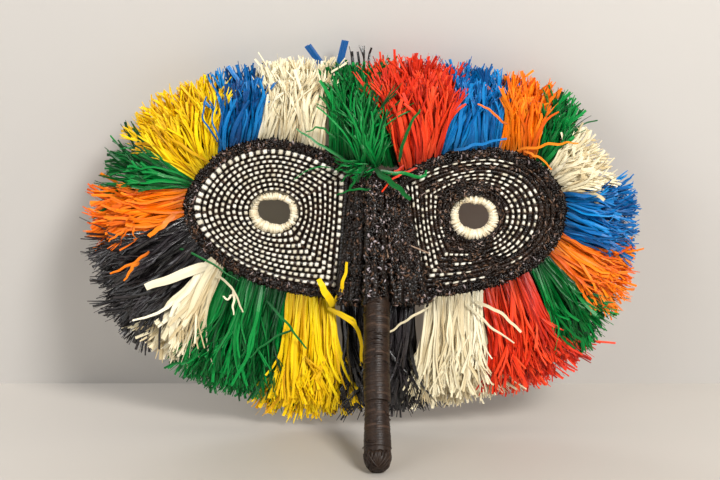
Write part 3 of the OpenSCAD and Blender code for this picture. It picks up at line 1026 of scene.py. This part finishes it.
def bunch(node, number):
    """All the strips of one bunch of one layer, in small clumps that lean their own ways."""
    rng = np.random.default_rng(1000 + number)
    front_layer = node.startswith("front")
    facing = 1 if front_layer else -1
    colour = node.split("_")[-1]
    label = "_".join(node.split("_")[2:])
    wide, trimmed = WIDE_BUNCHES.get(label, 1.0), TRIMS.get(label, 1.0)
    roots, ends = bunch_lines(node)
    width_root, width_end = run_length(roots)[-1], run_length(ends)[-1]
    middle_length = np.linalg.norm(line_at(ends, 0.5) - line_at(roots, 0.5))
    area = (width_root + width_end) / 2 * middle_length / MM ** 2
    count = area * (FRONT_DENSITY if front_layer else BACK_DENSITY) / wide
    clumps = max(4, round(width_end / CLUMP))
    batch = Batch()
    for clump in range(clumps * 2):
        place = (clump // 2 + rng.uniform(0.1, 0.9)) / clumps
        lean = rng.normal(0, 0.7) / clumps + rng.normal(0, 0.05)
        layer = (clump % 2 + rng.uniform(0, 1)) / 2
        trim = rng.uniform(-0.035, 0.025)
        tone = rng.uniform(0.15, 0.85)
        for _ in range(round(count / clumps / 2)):
            root = line_at(roots, place + rng.normal(0, 0.45) / clumps)
            stray = rng.normal(0, 0.22) if rng.uniform() < STRAY_SHARE else rng.normal(0, 0.6) / clumps
            tip = line_at(ends, place + lean + stray)
            tip = tip + (tip - [FRINGE_MID.x, FRINGE_MID.z]) * (trimmed - 1)
            way = tip - root
            full = np.linalg.norm(way)
            root = root - way / full * (HIDDEN_START + rng.uniform(0, 1.4)) * MM
            # Strips that lie further out from the cord's plane are shorter
            if front_layer:
                reach = 1.02 + trim - rng.uniform(0, 0.42) * (1 - layer) - 0.14 * rng.uniform() ** 2
                root_y = PLANE_Y - (0.8 + 3.0 * (1 - layer)) * MM
                tip_y = PLANE_Y - (1.0 + FRONT_SPREAD * (1 - layer) * rng.uniform(0.6, 1.0)) * MM
            else:
                reach = 1.01 + trim - rng.uniform(0, 0.2) * layer - 0.1 * rng.uniform() ** 2
                root_y = PLANE_Y + (0.6 + 3.0 * layer) * MM
                tip_y = PLANE_Y + (0.5 + BACK_SPREAD * layer * rng.uniform(0.5, 1.0)) * MM
            tip = root + way * (reach + HIDDEN_START * MM / full)
            shade = np.clip(tone + rng.normal(0, 0.22), 0, 1)
            add_strand(batch, np.array([root[0], root_y, root[1]]), np.array([tip[0], tip_y, tip[1]]), rng,
                       rng.uniform(*STRIP_WIDTH) * wide * MM, facing, rng.normal(0, 0.13),
                       rng.uniform(0.2, 2.6) * MM, shade)
    batch.piece(node + "_strips", RAFFIA[colour], "raffia_" + colour, [node], smooth=False)


def green_spray(name, seed, count, middle, turns, lengths, depths, width):
    """Loose green strips that spill from one spot over turns, in degrees; sizes in mm."""
    rng = np.random.default_rng(seed)
    batch = Batch()
    for _ in range(count):
        a = math.radians(rng.uniform(*turns))
        length = rng.uniform(*lengths)
        x, z = middle[0] + rng.uniform(-6, 6), middle[1] + rng.uniform(-3, 3)
        start = at(x, z, depths[0] + rng.uniform(-1.5, 1.0))
        end = at(x + math.cos(a) * length, z + math.sin(a) * length, depths[1] + rng.uniform(-2.5, 2.5))
        add_strand(batch, start, end, rng, rng.uniform(0.6, 1.4) * width * MM, 1, rng.normal(0, 0.2),
                   rng.uniform(1, 4) * MM, rng.uniform(0, 1), 0.5)
    batch.piece(name, RAFFIA["green"], "raffia_green", smooth=False)


# Loose strips that lie over their neighbours, by colour: width in mm, and points as (x, z, depth)
LOOSE_STRIPS = {
    "green": [
        (3.2, [(-1, 26.5, 15), (9, 19, 17), (18.5, 9.8, 12)]),
        (2.0, [(0.5, 25.4, 15), (13, 24.2, 13), (24.8, 22, 9), (27, 25.4, 8)]),
        (1.2, [(-3, 16, 17), (-13, 15, 11), (-22, 11, 5)]),
        (1.8, [(-7, 29, 12), (-11, 21, 11), (-15, 15, 7)]),
        (1.6, [(-17, 31, 8), (-30, 39, 10), (-43, 48, 10)]),
        (1.2, [(-22, 42, 10), (-30, 49, 12), (-38, 46, 11)]),
        (0.7, [(-24, 26, 5), (-31, 27, 5.5), (-38, 24.5, 4.5), (-45, 19.5, 3.5)]),
        (1.8, [(12, 30, 9), (16, 46, 13), (23, 59, 14)]),
        (1.2, [(-112, -17, 4.5), (-93, -25.5, 5), (-76, -37, 5)]),
        (1.4, [(-60, -47, 9), (-48, -60, 15), (-38, -73, 14)]),
        (1.3, [(-46, -62, 14), (-58, -68, 14), (-70, -78, 14)]),
    ],
    "red": [
        (1.2, [(22, 26.5, 9), (11.8, 23.3, 13), (2.1, 14.7, 18)]),
        (1.4, [(15, 28, 10), (11, 25.5, 12), (7.4, 23.6, 14)]),
    ],
    "orange": [
        (2.8, [(-110, 1, 7), (-117, -5, 12), (-124, -10.5, 13)]),
        (1.7, [(-124, -18.5, 12), (-134, -26, 14), (-146, -31, 13)]),
        (1.8, [(-130, -24, 14), (-134, -29, 14), (-138, -35, 13)]),
        (1.4, [(-135, -5.5, 13), (-140, -9, 14), (-146, -13, 13)]),
        (1.4, [(-132, -5.5, 13), (-137, -9, 14), (-140, -15.5, 13)]),
        (1.2, [(-132, -4.5, 13), (-132, -8, 14), (-131, -12, 13)]),
        (1.5, [(76, 36, 8), (94, 40, 13), (108, 41, 14)]),
        (1.3, [(80, 35.5, 8), (87, 33, 10), (95, 26, 9)]),
        (1.3, [(70, 50, 12), (62, 57, 13), (54, 62, 13)]),
    ],
    "blue": [
        (1.0, [(-86, 41, 8), (-93, 54, 13), (-91, 66, 14)]),
        (1.0, [(-84, 40, 8), (-88, 52, 13), (-86, 64, 14)]),
        (1.6, [(42, 36, 8), (56, 40, 11), (70, 43, 12)]),
    ],
    "yellow": [
        (2.2, [(-23, -49, 8), (-18.8, -38, 12), (-16, -24.8, 13)]),
        (4.2, [(-24, -50, 8), (-28, -42, 10), (-32, -34.5, 10)]),
        (2.2, [(-27, -51, 8), (-13, -59, 13), (-8, -72, 12), (-9, -84, 10)]),
        (1.8, [(-24, -52, 8), (-14, -56, 13), (-9, -64, 12)]),
    ],
    "cream": [
        (5.6, [(-93, -28, 6), (-108, -32, 12), (-126, -39, 13)]),
        (1.5, [(-88, -33, 8), (-79, -39, 12), (-76, -46, 13), (-73, -53, 13)]),
        (1.3, [(-78, -41, 12), (-78.5, -48, 13), (-78.5, -54, 13)]),
        (1.2, [(-78, -42, 12), (-81, -45, 13), (-84, -44, 13)]),
        (1.4, [(31, -50, 8), (18, -57, 9), (6, -66, 9)]),
        (1.8, [(54, -47, 8), (68, -53, 13), (80, -64, 13)]),
        (1.6, [(50, -49, 8), (62, -60, 13), (76, -70, 14)]),
    ],
}


def loose_strips():
    """Single strips that stray from their bunches."""
    rng = np.random.default_rng(91)
    steps = 16
    for colour, strips in sorted(LOOSE_STRIPS.items()):
        batch = Batch()
        for width, places in strips:
            points = np.array([at(*place) for place in places])
            u = np.linspace(0, 1, steps)
            path = smooth_curve(points, u)
            for sway in ([1, 0, 0], [0, 0, 1]):
                path += np.outer(0.35 * MM * waves(u * 9, rng, 3, 0.8, 2.5), sway)
            widths = width * MM * np.interp(u, [0, 0.1, 0.5, 1], [0.7, 1, 0.95, rng.uniform(0.4, 0.8)])
            twist = rng.normal(0, 0.3) + rng.normal(0, 0.5) * u
            add_ribbon(batch, path, widths, twisted(twist, [1, 0, 0]), 0.16 * MM, rng.uniform(0.3, 0.8),
                       rng.uniform(-0.12, 0.12))
        batch.piece("loose_%s_strips" % colour, RAFFIA[colour], "raffia_" + colour, smooth=False)


def top_blue_strips():
    """Two flat strips that stand up above the fringe."""
    rng = np.random.default_rng(71)
    low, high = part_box("top_blue_strips")
    batch = Batch()
    # Each leans outwards near its top
    for x, top, lean in ((low.x + 3.5 * MM, high.z - 2 * MM, -0.7), (high.x - 5.0 * MM, high.z, 0.25)):
        z = np.linspace(low.z, top, 16)
        across = x + lean * np.maximum(z - top + 11 * MM, 0)
        path = np.stack([across, np.full(16, high.y - 0.5 * MM), z], axis=1)
        for side in (-1, 1):
            offset = np.array([side * 0.8 * MM, -0.15 * side * MM, 0])
            end = np.linspace(0, rng.uniform(-2, 0) * MM, 16)[:, None] * [0, 0, 1]
            add_ribbon(batch, path + offset + end, np.full(16, 2.3 * MM), [0, -1, 0], 0.35 * MM, 0.2)
    batch.piece("top_blue_strips_flat", RAFFIA["blue"], "raffia_blue", ["top_blue_strips"], smooth=False)


def top_black_ends():
    """A few black ends that show above the top bunch."""
    rng = np.random.default_rng(72)
    batch = Batch()
    for k in range(5):
        x = -14.5 + 2.0 * k
        add_strand(batch, at(x * 0.8, 62, -9), at(x + 0.8 * k, 90.5 + rng.uniform(-2.5, 1.5), -9), rng,
                   1.7 * MM, 1, 0.02, 0.5 * MM, 0.3, 0.2)
    batch.piece("top_black_ends", RAFFIA["black"], "raffia_black", smooth=False)


left_panel()
right_panel()
for side in ("left", "right"):
    eye_ring(side)
    rim(side)
    fringe_cord(side)
nose()
nose_fibres()
wound("handle_upper_winding", 51, 40)
wound("handle_lower_winding", 52, 10, 0.4 * MM)
end_cap()
for number, node in enumerate(nodes_named("front_tuft") + nodes_named("back_tuft")):
    bunch(node, number)
top_blue_strips()
top_black_ends()
green_spray("top_green_spill", 81, 26, (-6, 28), (160, 250), (6, 15), (10, 10), 1.2)
green_spray("top_green_crown", 82, 90, (-5, 29), (64, 118), (12, 40), (8, 11), 1.3)
loose_strips()


def core_wood():
    """Plain pale wood of the stick inside the windings."""
    m = Nodes("core_wood")
    grain = m.noise(220.0, 4.0)
    m.feed(m.ramp(grain, [(0.3, (96, 64, 38)), (0.7, (150, 108, 68))]), "Base Color")
    m.shader.inputs["Roughness"].default_value = 0.6
    m.bump(grain, 0.1 * MM)
    return m.material


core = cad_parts["handle_core"]
core.data.materials.clear()
core.data.materials.append(core_wood())


# ---- stage, light and camera

def plain(name, colour, roughness):
    m = Nodes(name)
    m.shader.inputs["Base Color"].default_value = rgb(*colour)
    m.shader.inputs["Roughness"].default_value = roughness
    return m


def stage_plane(name, near, far, material):
    """A wide rectangle between two edges that run along X, each given as (y, z)."""
    mesh = bpy.data.meshes.new(name)
    mesh.from_pydata([(-REACH, *near), (REACH, *near), (REACH, *far), (-REACH, *far)], [], [(0, 1, 2, 3)])
    mesh.materials.append(material)
    made = place(name, mesh)
    return made


FLOOR_Z = cad_box[0][2] - 0.3 * MM
REACH = 3.0
stage_plane("floor", (-REACH, FLOOR_Z), (REACH, FLOOR_Z), plain("floor_pale", (186, 180, 172), 0.6).material)

# The wall leans away from the mask's top, and only its front shows
WALL_FOOT = PLANE_Y + 97 * MM
WALL_LEAN = (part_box("top_blue_strips")[1].y + 14 * MM - WALL_FOOT) / (cad_box[1][2] - FLOOR_Z)
wall_paint = plain("wall_pale", (197, 194, 190), 0.9)
see_through = wall_paint.new("ShaderNodeBsdfTransparent")
one_sided = wall_paint.new("ShaderNodeMixShader")
wall_paint.link(wall_paint.new("ShaderNodeNewGeometry").outputs["Backfacing"], one_sided.inputs[0])
wall_paint.link(wall_paint.shader.outputs[0], one_sided.inputs[1])
wall_paint.link(see_through.outputs[0], one_sided.inputs[2])
wall_paint.link(one_sided.outputs[0], wall_paint.tree.nodes["Material Output"].inputs["Surface"])
WALL_TOP = WALL_FOOT + WALL_LEAN * REACH
wall = stage_plane("wall", (WALL_FOOT, FLOOR_Z), (WALL_TOP, FLOOR_Z + REACH), wall_paint.material)
wall.visible_shadow = False

target = Vector(at(-9, -14.6))


def area_light(name, way, size, power, colour=(1, 1, 1)):
    """A square light at way from the target, turned towards it."""
    data = bpy.data.lights.new(name, "AREA")
    data.size, data.energy, data.color = size, power, colour
    made = place(name, data)
    made.location = target + Vector(way)
    made.rotation_euler = (-Vector(way)).to_track_quat("-Z", "Y").to_euler()


area_light("key", (0.55, -1.15, 0.75), 0.4, 24, (1.0, 0.98, 0.95))
area_light("fill", (-0.95, -1.15, 0.45), 0.8, 9)
area_light("back_left", (-0.7, 1.3, 0.8), 0.9, 8)
area_light("back_right", (0.9, 1.2, 0.5), 0.9, 6)

world = bpy.data.worlds.new("studio")
world.use_nodes = True
world.node_tree.nodes["Background"].inputs["Color"].default_value = (0.95, 0.96, 1.0, 1)
world.node_tree.nodes["Background"].inputs["Strength"].default_value = 0.12
bpy.context.scene.world = world
bpy.context.scene.view_settings.view_transform = "Standard"

ELEVATION = math.radians(10)
DISTANCE = 0.79
camera = place("camera", bpy.data.cameras.new("camera"))
camera.data.lens = 71.4
camera.location = target + Vector((0, -math.cos(ELEVATION), math.sin(ELEVATION))) * DISTANCE
camera.rotation_euler = (target - camera.location).to_track_quat("-Z", "Y").to_euler()
bpy.context.scene.camera = camera
